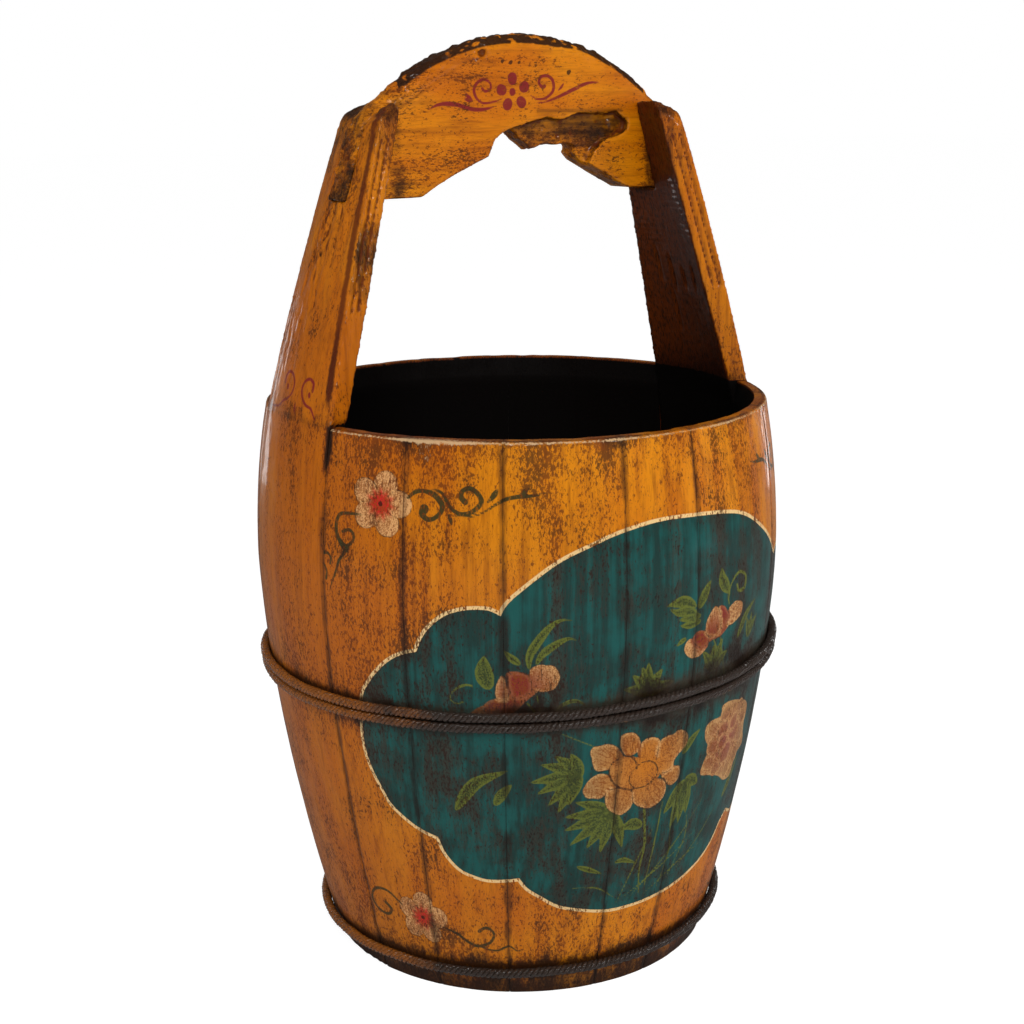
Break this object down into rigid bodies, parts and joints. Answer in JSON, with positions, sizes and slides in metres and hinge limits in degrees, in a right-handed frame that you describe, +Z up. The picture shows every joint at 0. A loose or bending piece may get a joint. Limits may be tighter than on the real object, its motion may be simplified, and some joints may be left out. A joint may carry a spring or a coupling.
{
  "type": "wooden bucket",
  "caption": "Staved wooden bucket with two tall handle staves, an arched grip board in open slots and twisted wire hoops.",
  "frame": {"origin": "on the floor at the middle of the bucket's round base", "axes": "+Z up through the barrel's axis; the handle runs along X, the painted side faces -Y"},
  "size_m": [0.3241, 0.3235, 0.5499],
  "materials": {
    "lacquered_wood": "golden orange lacquer over wood, worn and varnished, with a teal painted panel",
    "dark_wood": "dark aged wood, dull",
    "peg_wood": "plain bare wood, hidden in the joints",
    "hoop_wire": "twisted iron wire, dark, partly lacquered over"
  },
  "bodies": {
    "root": {"left_upright": "lacquered_wood", "right_upright": "lacquered_wood", "front_stave_1": "lacquered_wood", "front_stave_2": "lacquered_wood", "front_stave_3": "lacquered_wood", "front_stave_4": "lacquered_wood", "front_stave_5": "lacquered_wood", "front_stave_6": "lacquered_wood", "front_stave_7": "lacquered_wood", "back_stave_1": "lacquered_wood", "back_stave_2": "lacquered_wood", "back_stave_3": "lacquered_wood", "back_stave_4": "lacquered_wood", "back_stave_5": "lacquered_wood", "back_stave_6": "lacquered_wood", "back_stave_7": "lacquered_wood", "grip_board": "lacquered_wood", "stave_pegs": "peg_wood", "bottom_board_front": "dark_wood", "bottom_board_middle": "dark_wood", "bottom_board_back": "dark_wood", "middle_hoop_upper": "hoop_wire", "middle_hoop_lower": "hoop_wire", "base_hoop": "hoop_wire"}
  },
  "joints": []
}
